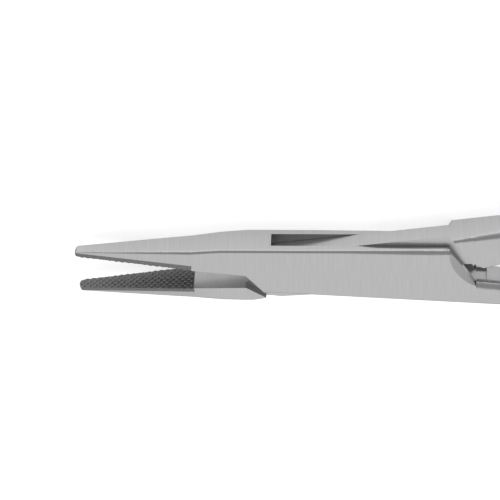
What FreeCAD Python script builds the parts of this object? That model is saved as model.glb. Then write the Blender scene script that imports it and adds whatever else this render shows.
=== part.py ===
import FreeCAD, Part
import math
import os
import re
from collections import namedtuple

import Sketcher

# A box-lock needle holder, 15 cm, lying flat with its jaws a little open.
# X runs along it, tips at -X and finger rings at +X. Y is the way the jaws open. Z is its thickness.
# The origin is under the pivot, on the plane that the instrument lies on.
# Both halves are drawn with the jaws shut, and each is then turned about the pivot to the rest pose.

SIZES = [
    ("box_thick", 3.7, "thickness of the box lock, flat face to flat face"),
    ("slot_wide", 1.85, "width of the slot through the box"),
    ("side_gap", 0.03, "running clearance on each side of the tongue"),
    ("pin_radius", 1.3, "radius of the pivot pin and of the bores that hold it"),
    ("bore_gap", 0.03, "running clearance of the pin in the tongue"),
    ("rest_opening", 8.75, "angle between the halves as they lie, in degrees"),
    ("box_radius", 9.6, "radius about the pivot of the round ends of the tongue"),
    ("arc_gap", 0.25, "clearance between a round end of the tongue and the slot"),
    ("rim_high", 3.4, "height of the rim above the pivot, at the pivot"),
    ("rim_slope", 0.071, "rise of the rim for each millimetre towards the rings"),
    ("rim_round", 0.42, "rounding of the long edges of the jaws and of the front of the box"),
    ("rear_round", 0.85, "rounding of the long edges of the box at its rear"),
    ("edge_round", 0.2, "rounding of the upper shank's inner edges at its shoulder"),
    ("belly_low", 4.02, "depth of the box below the pivot"),
    ("belly_front", 4.2, "depth of the box at the front foot of its cheeks"),
    ("belly_rear", 3.98, "depth of the box where the lower shank leaves it"),
    ("cheek_front", 12.1, "from the pivot to the front corner of the cheeks"),
    ("cheek_toe", 9.6, "from the pivot to the foot of the front oblique end"),
    ("cheek_top", 10.3, "from the pivot to the top of the rear oblique end"),
    ("cheek_heel", 13.8, "from the pivot to the foot of the rear oblique end"),
    ("slot_rear", 15.0, "from the pivot to the rear end of the slot"),
    ("scallop_radius", 5.7, "radius of the hollow ground into the rear end of each cheek"),
    ("scallop_deep", 0.45, "depth of that hollow at the middle of the oblique end"),
    ("scallop_wide", 0.9, "width of that hollow on the flat face"),
    ("shoulder_gap", 0.3, "clearance between the front oblique end and the lower jaw's shoulder"),
    ("shoulder_thin", 0.75, "how much each face of the lower jaw slopes down along its shoulder"),
    ("shoulder_top", 10.8, "from the pivot to the top of the upper shank's shoulder"),
    ("shoulder_bend", 13.1, "from the pivot to the bend in that shoulder"),
    ("shoulder_bend_high", 0.3, "height of that bend above the pivot"),
    ("shoulder_slope", 0.6, "width of the sloping face along that shoulder"),
    ("tongue_drop", 0.1, "how far the rim of the tongue lies below the rim of the box"),
    ("heel_away", 14.4, "from the pivot to the foot of that shoulder"),
    ("heel_low", 0.45, "depth of the upper shank's inner edge below the pivot, at the shoulder"),
    ("shank_low", 0.72, "depth of the lower shank's inner edge below the pivot, where it leaves the box"),
    ("male_rear", 16.5, "from the pivot to where the upper shank narrows"),
    ("male_inner", 0.1, "height of the upper shank's inner edge there"),
    ("male_outer", 4.8, "height of the upper shank's back there"),
    ("root_low", 3.62, "depth of the lower jaw's back below the pivot, at its shoulder"),
    ("toe_low", 3.8, "depth of the lower jaw's back where it runs into the tongue"),
    ("root_swell", 0.12, "how far the back of a jaw swells out between its insert and the box"),
    ("grasp_low", 1.08, "depth of the shut grasping plane below the pivot"),
    ("closing_gap", 0.04, "gap between the inserts when the jaws are shut"),
    ("part_drop", 0.27, "drop of the parting line from the inserts to the box"),
    ("part_gap", 0.06, "gap along the parting line when the jaws are shut"),
    ("jaw_reach", 31.4, "from the pivot to the tips of the jaws"),
    ("insert_long", 13.2, "length of each carbide insert"),
    ("insert_thick", 0.66, "thickness of each carbide insert at its heel"),
    ("insert_thin", 0.56, "thickness of each carbide insert at its tip"),
    ("tip_wide", 1.2, "width of the grasping face at the tip"),
    ("jaw_wide", 3.6, "width of the grasping face at the heel of the insert"),
    ("tip_back_wide", 1.05, "width of the back of a jaw at the tip"),
    ("jaw_back_wide", 2.95, "width of the back of a jaw at the heel of the insert"),
    ("tip_high", 0.67, "height of the upper jaw at the tip"),
    ("jaw_high", 2.6, "height of the upper jaw at the heel of the insert"),
    ("low_tip_high", 0.67, "height of the lower jaw at the tip"),
    ("low_jaw_high", 1.97, "height of the lower jaw at the heel of the insert"),
    ("tip_round", 0.06, "rounding of the back edges of a jaw at the tip"),
    ("nose_round", 0.58, "rounding of the very tip of a jaw, seen on its grasping face"),
    ("nose_high", 0.64, "rounding of the very tip of a jaw, seen from the side"),
    ("groove_pitch", 0.5, "spacing of the crossed grooves, across the grooves"),
    ("groove_wide", 0.44, "width of the crossed grooves"),
    ("groove_deep", 0.1, "depth of the crossed grooves"),
    ("neck_away", 28.0, "from the pivot to the neck of the shanks"),
    ("neck_side", 2.95, "from the long axis to the middle of the lower shank's neck, jaws shut"),
    ("male_neck_side", 3.2, "from the long axis to the middle of the upper shank's neck, jaws shut"),
    ("neck_wide", 3.1, "width of the shanks at the neck"),
    ("shank_away", 60.0, "from the pivot to the middle of the shanks"),
    ("shank_side", 5.6, "from the long axis to the middle of a shank there, jaws shut"),
    ("shank_wide", 3.1, "width of a shank there"),
    ("shank_thick", 3.5, "thickness of a shank there"),
    ("shank_round", 0.95, "rounding of the long edges of the shanks"),
    ("ring_away", 105.0, "from the pivot to the centres of the finger rings, along the instrument"),
    ("ring_side", 16.0, "from the long axis to the centre of each finger ring, jaws shut"),
    ("ring_hole", 10.5, "inner radius of a finger ring"),
    ("ring_bar", 3.0, "width of the bar of a finger ring"),
    ("ring_thick", 3.2, "thickness of the bar of a finger ring"),
    ("ring_edge", 1.3, "rounding of the bar of a finger ring"),
    ("ring_seat", 0.12, "how far the end of the shank lies inside each flat of the ring's bar"),
    ("ring_join", 20.0, "angle round the ring at which the shank runs into it, in degrees"),
    ("ratchet_away", 79.0, "from the pivot to the near side of the ratchet arms"),
    ("ratchet_long", 5.0, "length of the ratchet arms along the instrument"),
    ("ratchet_root", 9.0, "from the long axis to the root of a ratchet arm, inside its shank"),
    ("ratchet_gap", 0.2, "gap between the two ratchet arms across the thickness"),
    ("tip_gap", 0.15, "from the long axis to the tip of each ratchet arm, jaws shut"),
    ("tooth_pitch", 1.2, "spacing of the ratchet teeth"),
    ("tooth_deep", 0.55, "depth of the ratchet teeth"),
]
RATCHET_TEETH = 3
UP = FreeCAD.Vector(0, 0, 1)
HALF = "box_thick / 2"

# Where the rim of the tongue meets its round front end.
TONGUE_RIM = "(rim_high - tongue_drop)"
TONGUE_FRONT = (f"(-({TONGUE_RIM} * rim_slope + sqrt(box_radius^2 * (1 + rim_slope^2) - {TONGUE_RIM}^2))"
                " / (1 + rim_slope^2))")

doc = FreeCAD.newDocument("NeedleHolder")
sheet = doc.addObject("Spreadsheet::Sheet", "Dims")
for row, (alias, size, meaning) in enumerate(SIZES, start=1):
    sheet.set(f"A{row}", alias)
    sheet.set(f"B{row}", str(size))
    sheet.set(f"C{row}", meaning)
    sheet.setAlias(f"B{row}", alias)
doc.recompute()

# A corner of an outline: two formulas, the formula of its rounding if it has one,
# and whether the outline goes on to the next corner in an arc about the pivot.
Corner = namedtuple("Corner", "x y rounding arc", defaults=("", False))


def formula(text):
    """Point each size in a formula at its cell; only sizes have an underscore in their name."""
    return re.sub(r"\b[a-z]+(?:_[a-z]+)+\b", lambda name: "Dims." + name.group(), str(text))


def value(text):
    """The number that a formula gives."""
    return float(sheet.evalExpression(formula(text)))


def rim_at(x):
    """The formula for the height of the rim at a place along the instrument."""
    return f"(rim_high + rim_slope * ({x}))"


def on_circle(radius, y):
    """The formula for how far along the instrument a circle about the pivot reaches a height."""
    return f"sqrt(({radius})^2 - ({y})^2)"


def grasp(side, high):
    """The formula for a height above the grasping plane, on the side of a jaw."""
    return f"(-grasp_low + ({side}) * ({high}))"


def origin_part(body, role):
    """A plane or an axis of a body's own origin."""
    return next(part for part in body.Origin.OriginFeatures if part.Role == role)


def new_sketch(body, name, plane, lift="0"):
    """An empty sketch on a plane of the body's own origin, lifted along its normal."""
    sketch = body.newObject("Sketcher::SketchObject", name)
    sketch.AttachmentSupport = [(origin_part(body, plane), "")]
    sketch.MapMode = "FlatFace"
    sketch.setExpression(".AttachmentOffset.Base.z", formula(lift))
    return sketch


def add_arc(sketch, middle, start, end):
    """Draw an arc round a middle; gives the numbers of its points at the start and at the end."""
    forward = (start - middle).cross(end - middle).z > 0
    spots = (start - middle, end - middle) if forward else (end - middle, start - middle)
    first, last = (math.atan2(spot.y, spot.x) for spot in spots)
    if last < first:
        last += 2 * math.pi
    circle = Part.Circle(middle, UP, (start - middle).Length)
    sketch.addGeometry(Part.ArcOfCircle(circle, first, last))
    return (1, 2) if forward else (2, 1)


def draw_outline(sketch, corners):
    """Draw a closed outline, held at every corner by its formulas."""
    spots = [FreeCAD.Vector(value(corner.x), value(corner.y), 0) for corner in corners]
    reached = list(spots)
    left = list(spots)
    rounded = {}
    for i, corner in enumerate(corners):
        if corner.rounding:
            radius = value(corner.rounding)
            back = (spots[i - 1] - spots[i]).normalize()
            onward = (spots[(i + 1) % len(spots)] - spots[i]).normalize()
            half_angle = back.getAngle(onward) / 2
            reached[i] = spots[i] + back * (radius / math.tan(half_angle))
            left[i] = spots[i] + onward * (radius / math.tan(half_angle))
            rounded[i] = spots[i] + (back + onward).normalize() * (radius / math.sin(half_angle))

    rules = []
    bound = []
    starts = []
    ends = []
    for i, corner in enumerate(corners):
        start = left[i]
        end = reached[(i + 1) % len(corners)]
        if corner.arc:
            first, last = add_arc(sketch, FreeCAD.Vector(), start, end)
            rules.append(Sketcher.Constraint("Coincident", i, 3, -1, 1))
        else:
            sketch.addGeometry(Part.LineSegment(start, end))
            first, last = 1, 2
        starts.append((i, first))
        ends.append((i, last))

    for i, corner in enumerate(corners):
        place = starts[i]
        if i in rounded:
            first, last = add_arc(sketch, rounded[i], reached[i], left[i])
            arc = sketch.GeometryCount - 1
            rules.append(Sketcher.Constraint("Tangent", *ends[i - 1], arc, first))
            rules.append(Sketcher.Constraint("Tangent", arc, last, *starts[i]))
            rules.append(Sketcher.Constraint("Radius", arc, value(corner.rounding)))
            bound.append((len(rules) - 1, corner.rounding))
            place = (sketch.addGeometry(Part.Point(spots[i]), True), 1)
            rules.append(Sketcher.Constraint("PointOnObject", *place, i - 1 if i else len(corners) - 1))
            rules.append(Sketcher.Constraint("PointOnObject", *place, i))
        else:
            rules.append(Sketcher.Constraint("Coincident", *ends[i - 1], *starts[i]))
        if not corners[i - 1].arc:
            rules.append(Sketcher.Constraint("DistanceX", -1, 1, *place, spots[i].x))
            bound.append((len(rules) - 1, corner.x))
        rules.append(Sketcher.Constraint("DistanceY", -1, 1, *place, spots[i].y))
        bound.append((len(rules) - 1, corner.y))
    sketch.addConstraint(rules)
    for number, text in bound:
        sketch.setExpression(f"Constraints[{number}]", formula(text))


def check_cut(body, name, whole):
    """Stop if a cut took nothing away."""
    doc.recompute()
    if not body.Shape.Volume < whole:
        raise RuntimeError(f"{name} cuts nothing")


def add_pad(body, name, corners, thick, lift="0", plane="XY_Plane"):
    """A plate of an outline, from its plane along the plane's normal."""
    sketch = new_sketch(body, name + "_sketch", plane, lift)
    draw_outline(sketch, corners)
    pad = body.newObject("PartDesign::Pad", name)
    pad.Profile = sketch
    pad.setExpression("Length", formula(thick))
    doc.recompute()


def cut_pocket(body, name, corners, deep, lift="0", plane="XY_Plane"):
    """A pocket of an outline, cut from its plane along the plane's normal."""
    whole = body.Shape.Volume
    sketch = new_sketch(body, name + "_sketch", plane, lift)
    draw_outline(sketch, corners)
    pocket = body.newObject("PartDesign::Pocket", name)
    pocket.Profile = sketch
    pocket.Reversed = True
    pocket.setExpression("Length", formula(deep))
    check_cut(body, name, whole)


def cut_bore(body, name, radius):
    """A bore through the whole thickness about the pivot."""
    whole = body.Shape.Volume
    sketch = new_sketch(body, name + "_sketch", "XY_Plane")
    sketch.addGeometry(Part.Circle(FreeCAD.Vector(), UP, value(radius)))
    sketch.addConstraint([
        Sketcher.Constraint("Coincident", 0, 3, -1, 1),
        Sketcher.Constraint("Radius", 0, value(radius)),
    ])
    sketch.setExpression("Constraints[1]", formula(radius))
    bore = body.newObject("PartDesign::Pocket", name)
    bore.Profile = sketch
    bore.Reversed = True
    bore.setExpression("Length", formula("box_thick"))
    check_cut(body, name, whole)


def add_loft(body, name, sections, ruled=True):
    """A bar through sections across the instrument, each a place along X and its corners."""
    sketches = []
    for number, (place, corners) in enumerate(sections, start=1):
        sketch = new_sketch(body, f"{name}_section_{number}", "YZ_Plane", place)
        draw_outline(sketch, corners)
        sketches.append(sketch)
    loft = body.newObject("PartDesign::AdditiveLoft", name)
    loft.Profile = sketches[0]
    loft.Sections = sketches[1:]
    loft.Ruled = ruled
    doc.recompute()


def cut_loft(body, name, outlines):
    """Cut away what lies between two outlines, each a height and its corners."""
    whole = body.Shape.Volume
    sketches = []
    for number, (lift, corners) in enumerate(outlines, start=1):
        sketch = new_sketch(body, f"{name}_outline_{number}", "XY_Plane", lift)
        draw_outline(sketch, corners)
        sketches.append(sketch)
    loft = body.newObject("PartDesign::SubtractiveLoft", name)
    loft.Profile = sketches[0]
    loft.Sections = sketches[1:]
    loft.Ruled = True
    check_cut(body, name, whole)


def jaw_section(base, back, wide, back_wide, rounding):
    """A section of a jaw: a flat base, sides that lean in, and a narrower back with round edges."""
    return [
        Corner(base, f"{HALF} - ({wide}) / 2"),
        Corner(back, f"{HALF} - ({back_wide}) / 2", rounding),
        Corner(back, f"{HALF} + ({back_wide}) / 2", rounding),
        Corner(base, f"{HALF} + ({wide}) / 2"),
    ]


def bar_section(inner, outer, low, high, inner_round, outer_round):
    """A section of a bar: a rectangle with round corners between two heights."""
    return [
        Corner(inner, low, inner_round),
        Corner(outer, low, outer_round),
        Corner(outer, high, outer_round),
        Corner(inner, high, inner_round),
    ]


def seat_width(wide, back_wide, high, thick):
    """The formula for the width of a jaw where its insert is seated, on the line of its sides."""
    return f"({wide} - ({wide} - {back_wide}) * {thick} / ({high} - closing_gap / 2))"


def new_half(name, side):
    """An empty body turned about the pivot from shut to the rest pose; side is that of its jaw."""
    body = doc.addObject("PartDesign::Body", name)
    body.Label = name
    half_turn = -side * value("rest_opening") / 2
    body.Placement = FreeCAD.Placement(FreeCAD.Vector(), FreeCAD.Rotation(UP, half_turn))
    return body


def add_jaw(body, side, tip_high, jaw_high, root_place, root_base, root_back):
    """A jaw from its tip to the box, with a step where its insert ends."""
    heel = "insert_long - jaw_reach"
    tip_seat = grasp(side, "closing_gap / 2 + insert_thin")
    heel_seat = grasp(side, "closing_gap / 2 + insert_thick")
    tip_seat_wide = seat_width("tip_wide", "tip_back_wide", tip_high, "insert_thin")
    heel_seat_wide = seat_width("jaw_wide", "jaw_back_wide", jaw_high, "insert_thick")
    tip_back = grasp(side, tip_high)
    heel_back = grasp(side, jaw_high)
    face = grasp(side, "closing_gap / 2")
    add_loft(body, "gripping_part", [
        ("-jaw_reach", jaw_section(tip_seat, tip_back, tip_seat_wide, "tip_back_wide", "tip_round")),
        (heel, jaw_section(heel_seat, heel_back, heel_seat_wide, "jaw_back_wide", "rim_round")),
    ])
    middle_place = f"({heel} + {root_place}) / 2"
    middle_base = f"({face} + {root_base}) / 2"
    middle_back = f"({heel_back} + {root_back}) / 2 + ({side}) * root_swell"
    middle_wide = "(jaw_wide + box_thick) / 2"
    middle_back_wide = "(jaw_back_wide + box_thick) / 2"
    add_loft(body, "jaw_root", [
        (heel, jaw_section(face, heel_back, "jaw_wide", "jaw_back_wide", "rim_round")),
        (middle_place, jaw_section(middle_base, middle_back, middle_wide, middle_back_wide, "rim_round")),
        (root_place, jaw_section(root_base, root_back, "box_thick", "box_thick", "rim_round")),
    ])


def round_nose(body, side, tip_high, jaw_high):
    """Round the tip of a jaw or of its insert, seen from the side and seen on the grasping face."""
    ahead = "-jaw_reach - nose_round"
    near = "3 * nose_round - jaw_reach"
    beyond = f"({tip_high} + 2 * nose_round)"
    rise = f"3 * nose_round * ({jaw_high} - {tip_high} + nose_round / 2) / insert_long"
    cut_pocket(body, "nose_back", [
        Corner(ahead, grasp(side, "0")),
        Corner("-jaw_reach", grasp(side, "0")),
        Corner("-jaw_reach", grasp(side, tip_high), "nose_high"),
        Corner(near, grasp(side, f"{tip_high} + {rise}")),
        Corner(near, grasp(side, beyond)),
        Corner(ahead, grasp(side, beyond)),
    ], "box_thick")
    widening = "3 * nose_round * (jaw_wide - tip_wide + nose_round) / 2 / insert_long"
    for number, turn in enumerate((-1, 1), start=1):
        cut_pocket(body, f"nose_side_{number}", [
            Corner(ahead, HALF),
            Corner("-jaw_reach", HALF),
            Corner("-jaw_reach", f"{HALF} + ({turn}) * tip_wide / 2", "nose_round"),
            Corner(near, f"{HALF} + ({turn}) * (tip_wide / 2 + {widening})"),
            Corner(near, f"{HALF} + ({turn}) * (tip_wide / 2 + 2 * nose_round)"),
            Corner(ahead, f"{HALF} + ({turn}) * (tip_wide / 2 + 2 * nose_round)"),
        ], "2 * box_thick", "-box_thick", "XZ_Plane")


def add_shank(body, side, start, neck_side):
    """A shank from the box to its finger ring; start is its place, its two edges and their rounding."""
    end_place = "ring_away - (ring_hole + ring_bar / 2) * cos(ring_join)"
    end_side = "ring_side - (ring_hole + ring_bar / 2) * sin(ring_join)"
    place, inner, outer, inner_round, outer_round = start
    sections = [(place, bar_section(inner, outer, "0", "box_thick", inner_round, outer_round))]
    for place, middle, wide, low, high in (
            ("neck_away", neck_side, "neck_wide", "0", "box_thick"),
            ("shank_away", "shank_side", "shank_wide", "0", "shank_thick"),
            (end_place, end_side, "ring_bar", "ring_seat", "ring_thick - ring_seat")):
        inner = f"({-side}) * ({middle} - {wide} / 2)"
        outer = f"({-side}) * ({middle} + {wide} / 2)"
        sections.append((place, bar_section(inner, outer, low, high, "shank_round", "shank_round")))
    add_loft(body, "shank", sections, ruled=False)


def add_ring(body, side):
    """A finger ring, turned about its own centre."""
    sketch = new_sketch(body, "finger_ring_sketch", "XZ_Plane", f"({side}) * ring_side")
    sketch.setExpression(".AttachmentOffset.Base.x", formula("ring_away"))
    draw_outline(sketch, [
        Corner("ring_hole", "0", "ring_edge"),
        Corner("ring_hole + ring_bar", "0", "ring_edge"),
        Corner("ring_hole + ring_bar", "ring_thick", "ring_edge"),
        Corner("ring_hole", "ring_thick", "ring_edge"),
    ])
    ring = body.newObject("PartDesign::Revolution", "finger_ring")
    ring.Profile = sketch
    ring.ReferenceAxis = (sketch, ["V_Axis"])
    doc.recompute()


def add_ratchet(body, side):
    """A ratchet arm towards the other shank, in its own half of the thickness, toothed near its tip."""
    low = "ring_seat"
    high = "(ring_thick - ratchet_gap) / 2"

    def arm_corner(reach, height):
        stood = height if side > 0 else f"ring_thick - ({height})"
        return Corner(f"({-side}) * ({reach})", stood)

    corners = [arm_corner("ratchet_root", low), arm_corner("tip_gap", low)]
    for tooth in range(RATCHET_TEETH):
        corners.append(arm_corner(f"tip_gap + {tooth} * tooth_pitch", f"{high} - tooth_deep"))
        corners.append(arm_corner(f"tip_gap + {tooth + 1} * tooth_pitch", high))
    corners.append(arm_corner("ratchet_root", high))
    add_pad(body, "ratchet_arm", corners, "ratchet_long", "ratchet_away", "YZ_Plane")


def cut_scallops(body):
    """The round hollow ground into both faces where the cheeks end towards the rings."""
    run_x = "(cheek_heel - cheek_top)"
    run_y = f"({rim_at('cheek_top')} + grasp_low)"
    away = f"(scallop_radius - scallop_wide) / sqrt({run_x}^2 + {run_y}^2)"
    middle_x = f"(cheek_top + cheek_heel) / 2 + {away} * {run_y}"
    middle_y = f"({rim_at('cheek_top')} - grasp_low) / 2 + {away} * {run_x}"
    small = "scallop_radius - 2 * scallop_wide"
    for name, low, first, last in (
            ("scallop_base", "0", "scallop_radius", small),
            ("scallop_top", "box_thick - 2 * scallop_deep", small, "scallop_radius")):
        whole = body.Shape.Volume
        cone = body.newObject("PartDesign::SubtractiveCone", name)
        cone.setExpression("Radius1", formula(first))
        cone.setExpression("Radius2", formula(last))
        cone.setExpression("Height", formula("2 * scallop_deep"))
        cone.AttachmentSupport = [(origin_part(body, "XY_Plane"), "")]
        cone.MapMode = "FlatFace"
        cone.setExpression(".AttachmentOffset.Base.x", formula(middle_x))
        cone.setExpression(".AttachmentOffset.Base.y", formula(middle_y))
        cone.setExpression(".AttachmentOffset.Base.z", formula(low))
        check_cut(body, name, whole)


def make_female_half():
    """Upper jaw, box with its two cheeks, lower shank, ratchet arm and finger ring, one forging."""
    side = 1
    body = new_half("female_half", side)
    part_line = "(-grasp_low - part_drop)"
    beyond = "(2 * belly_front)"
    add_loft(body, "box", [
        (place, bar_section(rim_at(place), f"-{belly}", "0", "box_thick", rounding, "rim_round"))
        for place, belly, rounding in (("-cheek_front", "belly_front", "rim_round"),
                                       ("-box_radius / 2", "belly_low", "rim_round"),
                                       ("cheek_heel", "belly_rear", "rear_round"))
    ])
    front_lean = f"(cheek_front - cheek_toe) / (belly_front + {part_line})"
    cut_pocket(body, "front_oblique", [
        Corner("-cheek_front", part_line),
        Corner(f"-cheek_front + ({beyond} + {part_line}) * {front_lean}", f"-{beyond}"),
        Corner("-cheek_front - slot_wide", f"-{beyond}"),
    ], "box_thick")
    rear_lean = f"(cheek_heel - cheek_top) / ({rim_at('cheek_top')} + grasp_low)"
    cut_pocket(body, "rear_oblique", [
        Corner("cheek_heel", "-grasp_low"),
        Corner("cheek_heel + slot_wide", beyond),
        Corner(f"cheek_heel - ({beyond} + grasp_low) * {rear_lean}", beyond),
    ], "box_thick")
    add_jaw(body, side, "tip_high", "jaw_high", "-cheek_front", part_line, rim_at("-cheek_front"))
    round_nose(body, side, "tip_high", "jaw_high")
    box_end = ("cheek_heel", "-shank_low", "-belly_rear", "shank_round", "rim_round")
    add_shank(body, side, box_end, "neck_side")
    add_ring(body, side)
    add_ratchet(body, side)
    cut_scallops(body)
    slot_radius = "(box_radius + arc_gap)"
    ahead = "-cheek_front - slot_wide"
    behind = "slot_rear"
    cut_pocket(body, "slot", [
        Corner(ahead, part_line),
        Corner(f"-{on_circle(slot_radius, part_line)}", part_line, "", True),
        Corner(f"-{on_circle(slot_radius, beyond)}", beyond),
        Corner(behind, beyond),
        Corner(behind, "-grasp_low"),
        Corner(on_circle(slot_radius, "grasp_low"), "-grasp_low", "", True),
        Corner(on_circle(slot_radius, beyond), f"-{beyond}"),
        Corner(ahead, f"-{beyond}"),
    ], "slot_wide", "(box_thick - slot_wide) / 2")
    cut_bore(body, "pin_bores", "pin_radius")
    return body


def make_male_half():
    """Lower jaw, the tongue that passes through the box, upper shank, ratchet arm and finger ring."""
    side = -1
    body = new_half("male_half", side)
    part_line = "(-grasp_low - part_drop - part_gap)"
    beyond = "(2 * belly_front)"
    root = "(-cheek_front - shoulder_gap)"
    tongue_side = "(slot_wide / 2 - side_gap)"
    shoulder_high = f"({rim_at('shoulder_top')} - tongue_drop)"
    add_loft(body, "jaw_shoulder", [
        (root, jaw_section(part_line, "-root_low", "box_thick", "box_thick", "rim_round")),
        ("-cheek_toe", jaw_section(part_line, "-toe_low", "box_thick", "box_thick", "rim_round")),
    ])
    front_lean = "(cheek_front - cheek_toe) / (belly_front - grasp_low - part_drop)"
    cut_pocket(body, "front_oblique", [
        Corner(root, "-grasp_low"),
        Corner(root, "-grasp_low - part_drop"),
        Corner(f"{root} + ({beyond} - grasp_low - part_drop) * {front_lean}", f"-{beyond}"),
        Corner("-cheek_toe + slot_wide", f"-{beyond}"),
        Corner("-cheek_toe + slot_wide", "-grasp_low"),
    ], "box_thick")
    for number, turn in enumerate((-1, 1), start=1):
        face = f"{HALF} + ({turn}) * {HALF}"
        cut_pocket(body, f"front_slope_{number}", [
            Corner(root, face),
            Corner("-cheek_toe", f"{face} - ({turn}) * shoulder_thin"),
            Corner("-cheek_toe + slot_wide", f"{face} - ({turn}) * shoulder_thin"),
            Corner("-cheek_toe + slot_wide", f"{face} + ({turn}) * slot_wide"),
            Corner(root, f"{face} + ({turn}) * slot_wide"),
        ], "2 * belly_front", "-slot_wide", "XZ_Plane")
    heel_share = "(heel_away - shoulder_top) / (male_rear - shoulder_top)"
    heel_high = f"({shoulder_high} + (male_outer - {shoulder_high}) * {heel_share})"
    heel_round = f"(rim_round + (shank_round - rim_round) * {heel_share})"
    add_loft(body, "shank_shoulder", [
        (place, bar_section(inner, outer, "0", "box_thick", "edge_round", rounding))
        for place, inner, outer, rounding in (("shoulder_top", "-heel_low", shoulder_high, "rim_round"),
                                              ("heel_away", "-heel_low", heel_high, heel_round),
                                              ("male_rear", "male_inner", "male_outer", "shank_round"))
    ])
    rear_lean = f"(shoulder_bend - shoulder_top) / ({shoulder_high} - shoulder_bend_high)"
    ahead = "shoulder_top - 2 * slot_wide"
    for number, turn in enumerate((-1, 1), start=1):
        cut_loft(body, f"rear_shoulder_{number}", [
            (f"{HALF} + ({turn}) * {lift}", [
                Corner(ahead, beyond),
                Corner(f"shoulder_top + {shift} - ({beyond} - {shoulder_high}) * {rear_lean}", beyond),
                Corner(f"shoulder_bend + {shift}", "shoulder_bend_high"),
                Corner(f"heel_away + {shift} / 2", "-heel_low"),
                Corner(f"heel_away + {shift} / 2", "-slot_wide"),
                Corner(ahead, "-slot_wide"),
            ]) for lift, shift in ((tongue_side, "0"), (f"({HALF} + side_gap)", "shoulder_slope"))
        ])
    add_pad(body, "tongue", [
        Corner(root, part_line),
        Corner(root, "-root_low"),
        Corner("-cheek_toe", "-toe_low"),
        Corner("slot_wide / 2 - cheek_toe", "-belly_low"),
        Corner(on_circle("box_radius", "belly_low"), "-belly_low", "", True),
        Corner(on_circle("box_radius", "heel_low"), "-heel_low"),
        Corner("heel_away", "-heel_low"),
        Corner("male_rear", "male_inner"),
        Corner("male_rear", "male_outer"),
        Corner("shoulder_top", shoulder_high),
        Corner(TONGUE_FRONT, f"({rim_at(TONGUE_FRONT)} - tongue_drop)", "", True),
        Corner(f"-{on_circle('box_radius', part_line)}", part_line),
    ], "slot_wide - 2 * side_gap", "(box_thick - slot_wide) / 2 + side_gap")
    add_jaw(body, side, "low_tip_high", "low_jaw_high", root, part_line, "-root_low")
    round_nose(body, side, "low_tip_high", "low_jaw_high")
    shoulder_end = ("male_rear", "male_inner", "male_outer", "edge_round", "shank_round")
    add_shank(body, side, shoulder_end, "male_neck_side")
    add_ring(body, side)
    add_ratchet(body, side)
    cut_bore(body, "pin_bore", "pin_radius + bore_gap")
    return body


def make_insert(name, side, tip_high, jaw_high):
    """A carbide insert, brazed to its jaw, with two crossed sets of grooves on its face."""
    body = new_half(name, side)
    face = grasp(side, "closing_gap / 2")
    tip_seat = grasp(side, "closing_gap / 2 + insert_thin")
    heel_seat = grasp(side, "closing_gap / 2 + insert_thick")
    heel = "insert_long - jaw_reach"
    tip_seat_wide = seat_width("tip_wide", "tip_back_wide", tip_high, "insert_thin")
    heel_seat_wide = seat_width("jaw_wide", "jaw_back_wide", jaw_high, "insert_thick")
    add_loft(body, "blank", [
        ("-jaw_reach", jaw_section(face, tip_seat, "tip_wide", tip_seat_wide, "")),
        (heel, jaw_section(face, heel_seat, "jaw_wide", heel_seat_wide, "")),
    ])
    round_nose(body, side, tip_high, jaw_high)
    step = "(groove_pitch * sqrt(2))"
    count = f"floor((insert_long + (jaw_wide + tip_wide) / 2) / {step})"
    clear = grasp(side, "closing_gap / 2 - groove_deep")
    for number, turn in enumerate((-45, 45), start=1):
        whole = body.Shape.Volume
        sketch = new_sketch(body, f"groove_{number}_sketch", "YZ_Plane")
        tilt = FreeCAD.Rotation(FreeCAD.Vector(1, 0, 0), turn)
        sketch.AttachmentOffset = FreeCAD.Placement(FreeCAD.Vector(), tilt)
        sketch.setExpression(".AttachmentOffset.Base.y", formula(HALF))
        sketch.setExpression(".AttachmentOffset.Base.z",
                             formula(f"{step} / 2 - jaw_reach - tip_wide / 2"))
        draw_outline(sketch, [
            Corner(grasp(side, "closing_gap / 2 + groove_deep"), "0"),
            Corner(face, "groove_wide / 2"),
            Corner(clear, "groove_wide / 2"),
            Corner(clear, "-groove_wide / 2"),
            Corner(face, "-groove_wide / 2"),
        ])
        groove = body.newObject("PartDesign::Pocket", f"groove_{number}")
        groove.Profile = sketch
        groove.SideType = "Symmetric"
        groove.Refine = False
        groove.setExpression("Length", formula("4 * jaw_wide"))
        doc.recompute()
        grooves = body.newObject("PartDesign::LinearPattern", f"grooves_{number}")
        grooves.Originals = [groove]
        grooves.Refine = False
        grooves.Direction = (origin_part(body, "X_Axis"), [""])
        grooves.setExpression("Occurrences", formula(count))
        grooves.setExpression("Length", formula(f"({count} - 1) * {step}"))
        body.Tip = grooves
        check_cut(body, grooves.Name, whole)
    return body


def make_pivot_pin():
    """The pivot pin, ground flush with both cheeks."""
    pin = doc.addObject("Part::Cylinder", "pivot_pin")
    pin.Label = "pivot_pin"
    pin.setExpression("Radius", formula("pin_radius"))
    pin.setExpression("Height", formula("box_thick"))
    pin.Placement = FreeCAD.Placement()
    return pin


pieces = [
    make_female_half(),
    make_male_half(),
    make_insert("upper_jaw_insert", 1, "tip_high", "jaw_high"),
    make_insert("lower_jaw_insert", -1, "low_tip_high", "low_jaw_high"),
    make_pivot_pin(),
]
doc.recompute()
for item in doc.Objects:
    if "Invalid" in item.State or "Error" in item.State:
        raise RuntimeError(f"{item.Name} did not build: {item.State}")
for piece in pieces:
    if piece.Shape.isNull() or not piece.Shape.isValid() or len(piece.Shape.Solids) != 1:
        raise RuntimeError(f"{piece.Label} is not one valid solid")

os.makedirs("parts", exist_ok=True)
for piece in pieces:
    piece.Shape.exportStep(f"parts/{piece.Label}.step")
    print(f"{piece.Label}: {piece.Shape.Volume:.1f} mm3")
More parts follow.
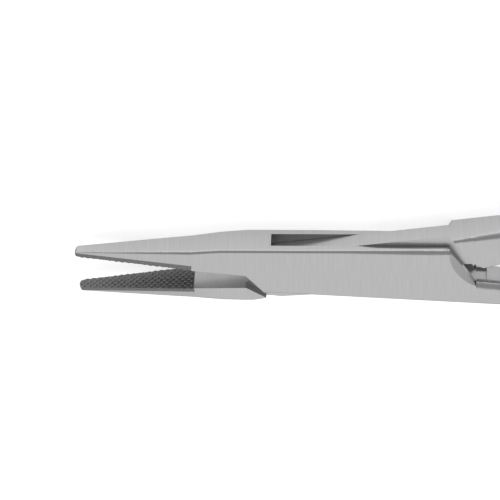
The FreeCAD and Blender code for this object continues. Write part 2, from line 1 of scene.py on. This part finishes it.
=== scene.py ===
import bpy
from mathutils import Matrix, Vector

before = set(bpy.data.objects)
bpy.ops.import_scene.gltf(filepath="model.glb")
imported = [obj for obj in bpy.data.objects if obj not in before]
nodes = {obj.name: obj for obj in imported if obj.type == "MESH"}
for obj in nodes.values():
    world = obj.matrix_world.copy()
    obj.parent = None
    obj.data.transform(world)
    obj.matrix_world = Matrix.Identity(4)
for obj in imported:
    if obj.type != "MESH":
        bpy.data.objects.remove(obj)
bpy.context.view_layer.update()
scene = bpy.context.scene

MM = 0.001
WHITE = (1, 1, 1, 1)

# The photo: what its middle shows, how wide it is, and the way from there to the camera.
AIM = Vector((-11.64, 1.84, 1.85)) * MM
FRAME_WIDE = 56.0 * MM
TOWARDS_CAMERA = Vector((0.05, 0.707, 0.705))
LENS = 200.0
SENSOR = 36.0
NEAREST_SEEN = 0.01
FARTHEST_SEEN = 10.0

# The studio, in metres and watts. The overhead light stands behind the instrument, seen from the camera.
WORLD_STRENGTH = 0.45
LIGHT_AWAY = 0.6
OVERHEAD_LIGHT = {"towards": (0.0, -0.62, 0.78), "size": (1.0, 0.8), "power": 1.6}
FRONT_LIGHT = {"towards": (0.0, 1.0, 0.12), "size": (1.0, 0.22), "power": 0.8}
FLOOR_HALF = 2.0
FLOOR_GREY = 0.85
FLOOR_GLOW = 0.6

# Nearly all of a noise pattern lies between these two levels.
NOISE_LOW = 0.3
NOISE_HIGH = 0.7
NOISE_DETAIL = 3.0

# The grinding lines of the steel are noise that changes fast along X only, in grains a metre along each axis.
STEEL_LINES = (7000, 260, 260)
STEEL_LINE_DEEP = 0.01 * MM
CARBIDE_GRAINS = 6000.0
CARBIDE_GRAIN_DEEP = 0.03 * MM


def add_camera():
    """A long lens that looks down on the jaws as in the photo, with the tips on the left."""
    data = bpy.data.cameras.new("camera")
    data.lens = LENS
    data.sensor_width = SENSOR
    data.clip_start = NEAREST_SEEN
    data.clip_end = FARTHEST_SEEN
    camera = bpy.data.objects.new("camera", data)
    scene.collection.objects.link(camera)
    back = TOWARDS_CAMERA.normalized()
    up = back.cross(Vector((1, 0, 0))).normalized()
    right = up.cross(back)
    turn = Matrix((right, up, back)).transposed()
    distance = FRAME_WIDE * LENS / SENSOR
    camera.matrix_world = Matrix.Translation(AIM + back * distance) @ turn.to_4x4()
    scene.camera = camera


def add_softbox(name, towards, size, power):
    """A rectangular soft light that shines from that direction onto what the middle of the photo shows."""
    data = bpy.data.lights.new(name, "AREA")
    data.shape = "RECTANGLE"
    data.size, data.size_y = size
    data.energy = power
    light = bpy.data.objects.new(name, data)
    scene.collection.objects.link(light)
    way = Vector(towards).normalized()
    light.location = AIM + way * LIGHT_AWAY
    light.rotation_euler = way.to_track_quat("Z", "Y").to_euler()


def set_inputs(tree, node, inputs):
    """Sets inputs of a shader node, each given as a value or as another node's output."""
    for key, given in inputs.items():
        if isinstance(given, bpy.types.NodeSocket):
            tree.links.new(given, node.inputs[key])
        else:
            node.inputs[key].default_value = given


def add_node(tree, kind, inputs=None, **settings):
    """A new shader node with some of its settings and inputs."""
    node = tree.nodes.new(kind)
    for key, setting in settings.items():
        setattr(node, key, setting)
    set_inputs(tree, node, inputs or {})
    return node


def add_world():
    """Even white light from all round."""
    world = bpy.data.worlds.new("studio")
    world.use_nodes = True
    tree = world.node_tree
    set_inputs(tree, tree.nodes["Background"], {"Color": WHITE, "Strength": WORLD_STRENGTH})
    scene.world = world


def new_material(name):
    material = bpy.data.materials.new(name)
    material.use_nodes = True
    tree = material.node_tree
    return material, tree, tree.nodes["Principled BSDF"]


def add_floor():
    """A plain pale floor that the instrument lies on."""
    half = FLOOR_HALF
    corners = [(-half, -half, 0), (half, -half, 0), (half, half, 0), (-half, half, 0)]
    mesh = bpy.data.meshes.new("floor")
    mesh.from_pydata(corners, [], [(0, 1, 2, 3)])
    floor = bpy.data.objects.new("floor", mesh)
    scene.collection.objects.link(floor)
    material, tree, shader = new_material("floor")
    set_inputs(tree, shader, {
        "Base Color": (FLOOR_GREY, FLOOR_GREY, FLOOR_GREY, 1),
        "Roughness": 0.9,
        "Specular IOR Level": 0.2,
        "Emission Color": WHITE,
        "Emission Strength": FLOOR_GLOW,
    })
    mesh.materials.append(material)


def add_noise(tree, place, grains):
    """The level of a noise pattern at each place, with so many grains in a unit of length."""
    noise = add_node(tree, "ShaderNodeTexNoise", {"Vector": place, "Scale": grains, "Detail": NOISE_DETAIL})
    return noise.outputs["Fac"]


def add_greys(tree, pattern, darkest, lightest):
    """A colour output that turns a noise pattern into greys between those two."""
    greys = add_node(tree, "ShaderNodeMapRange", {
        "Value": pattern,
        "From Min": NOISE_LOW,
        "From Max": NOISE_HIGH,
        "To Min": darkest,
        "To Max": lightest,
    })
    level = greys.outputs["Result"]
    colour = add_node(tree, "ShaderNodeCombineColor", {"Red": level, "Green": level, "Blue": level})
    return colour.outputs["Color"]


def add_bump(tree, pattern, strength, deep):
    """A normal output that roughens a surface with a noise pattern of that depth."""
    bump = add_node(tree, "ShaderNodeBump", {"Height": pattern, "Strength": strength, "Distance": deep})
    return bump.outputs["Normal"]


def make_steel():
    """Satin steel, ground across its length: fine faint lines run across it."""
    material, tree, shader = new_material("steel")
    place = add_node(tree, "ShaderNodeTexCoord").outputs["Object"]
    stretched = add_node(tree, "ShaderNodeMapping", {"Vector": place, "Scale": STEEL_LINES}).outputs["Vector"]
    lines = add_noise(tree, stretched, 1.0)
    round_x = add_node(tree, "ShaderNodeTangent", direction_type="RADIAL", axis="X").outputs["Tangent"]
    set_inputs(tree, shader, {
        "Base Color": add_greys(tree, lines, 0.44, 0.48),
        "Normal": add_bump(tree, lines, 0.1, STEEL_LINE_DEEP),
        "Tangent": round_x,
        "Metallic": 1.0,
        "Roughness": 0.34,
        "Anisotropic": 0.6,
        "Anisotropic Rotation": 0.25,
    })
    return material


def make_carbide():
    """Dark sintered carbide, slightly speckled."""
    material, tree, shader = new_material("carbide")
    place = add_node(tree, "ShaderNodeTexCoord").outputs["Object"]
    grains = add_noise(tree, place, CARBIDE_GRAINS)
    set_inputs(tree, shader, {
        "Base Color": add_greys(tree, grains, 0.13, 0.21),
        "Normal": add_bump(tree, grains, 0.3, CARBIDE_GRAIN_DEEP),
        "Metallic": 0.9,
        "Roughness": 0.36,
    })
    return material


def dress(node, material):
    mesh = nodes[node].data
    mesh.materials.clear()
    mesh.materials.append(material)


scene.view_settings.view_transform = "Standard"
add_camera()
add_world()
add_floor()
add_softbox("overhead_light", **OVERHEAD_LIGHT)
add_softbox("front_light", **FRONT_LIGHT)

steel = make_steel()
carbide = make_carbide()
for node in ("female_half", "male_half", "pivot_pin"):
    dress(node, steel)
for node in ("upper_jaw_insert", "lower_jaw_insert"):
    dress(node, carbide)
